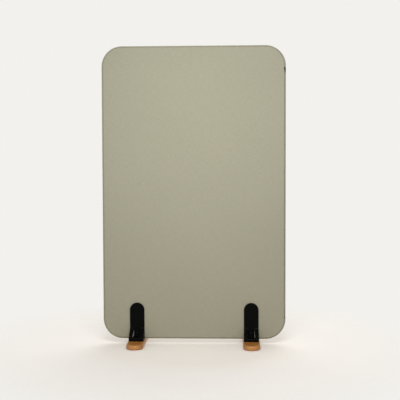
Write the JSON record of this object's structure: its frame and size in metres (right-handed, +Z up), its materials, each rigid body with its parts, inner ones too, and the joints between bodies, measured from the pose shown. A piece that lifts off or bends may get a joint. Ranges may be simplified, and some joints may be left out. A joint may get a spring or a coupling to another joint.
{
  "type": "acoustic divider screen",
  "caption": "Upholstered acoustic floor screen with rounded corners, standing on black clamp brackets and wooden foot bars, with a zipped fabric cover.",
  "frame": {"origin": "on the floor, under the middle of the panel", "axes": "+Z up, -Y out of the front face, +X to the right as seen from the front"},
  "size_m": [1, 0.38, 1.628],
  "materials": {
    "cover_fabric": "plain woven sage grey",
    "wadding": "soft fleece",
    "acoustic_felt": "pressed felt slab",
    "pine": "planed",
    "birch_ply": "sanded plywood",
    "beech": "turned",
    "zip_tape": "woven tape",
    "zip_nylon": "satin",
    "dark_zinc": "dark satin lacquer",
    "oiled_oak": "oiled",
    "black_nylon": "semi-gloss moulded",
    "black_steel": "black zinc",
    "zinc_steel": "bright zinc",
    "brass": "turned",
    "glide_felt": "pressed felt"
  },
  "bodies": {
    "screen": {"stile_left": "pine", "stile_right": "pine", "top_rail": "pine", "bottom_rail": "pine", "cross_rail": "pine", "corner_block_top_left": "pine", "corner_block_top_right": "pine", "corner_block_bottom_left": "pine", "corner_block_bottom_right": "pine", "backing_block_left": "birch_ply", "backing_block_right": "birch_ply", "frame_dowels": "beech", "lower_core": "acoustic_felt", "upper_core": "acoustic_felt", "front_wadding": "wadding", "rear_wadding": "wadding", "front_cover": "cover_fabric", "rear_cover": "cover_fabric", "side_band": "cover_fabric", "zip_tapes": "zip_tape", "zip_coil": "zip_nylon", "zip_stops": "dark_zinc", "foot_bar_left": "oiled_oak", "foot_bar_right": "oiled_oak", "front_bracket_left": "black_nylon", "front_bracket_right": "black_nylon", "rear_bracket_left": "black_nylon", "rear_bracket_right": "black_nylon", "clamp_bolt_left": "black_steel", "clamp_bolt_right": "black_steel", "sleeve_nut_left": "black_steel", "sleeve_nut_right": "black_steel", "toe_screws": "zinc_steel", "toe_inserts": "brass", "front_glide_left": "glide_felt", "front_glide_right": "glide_felt", "rear_glide_left": "glide_felt", "rear_glide_right": "glide_felt"},
    "slider": {"zip_slider": "dark_zinc"},
    "pull": {"zip_pull": "dark_zinc"}
  },
  "joints": [
    {"name": "zip_slide", "type": "slide", "parent": "screen", "child": "slider", "axis": [0, 0, -1], "range_m": [0, 1.3464]},
    {"name": "pull_swing", "type": "hinge", "parent": "slider", "child": "pull", "pos_m": [0.49555, -0.02108, 1.5012], "axis": [-0.866, -0.5, 0], "range_deg": [-4, 170]}
  ]
}
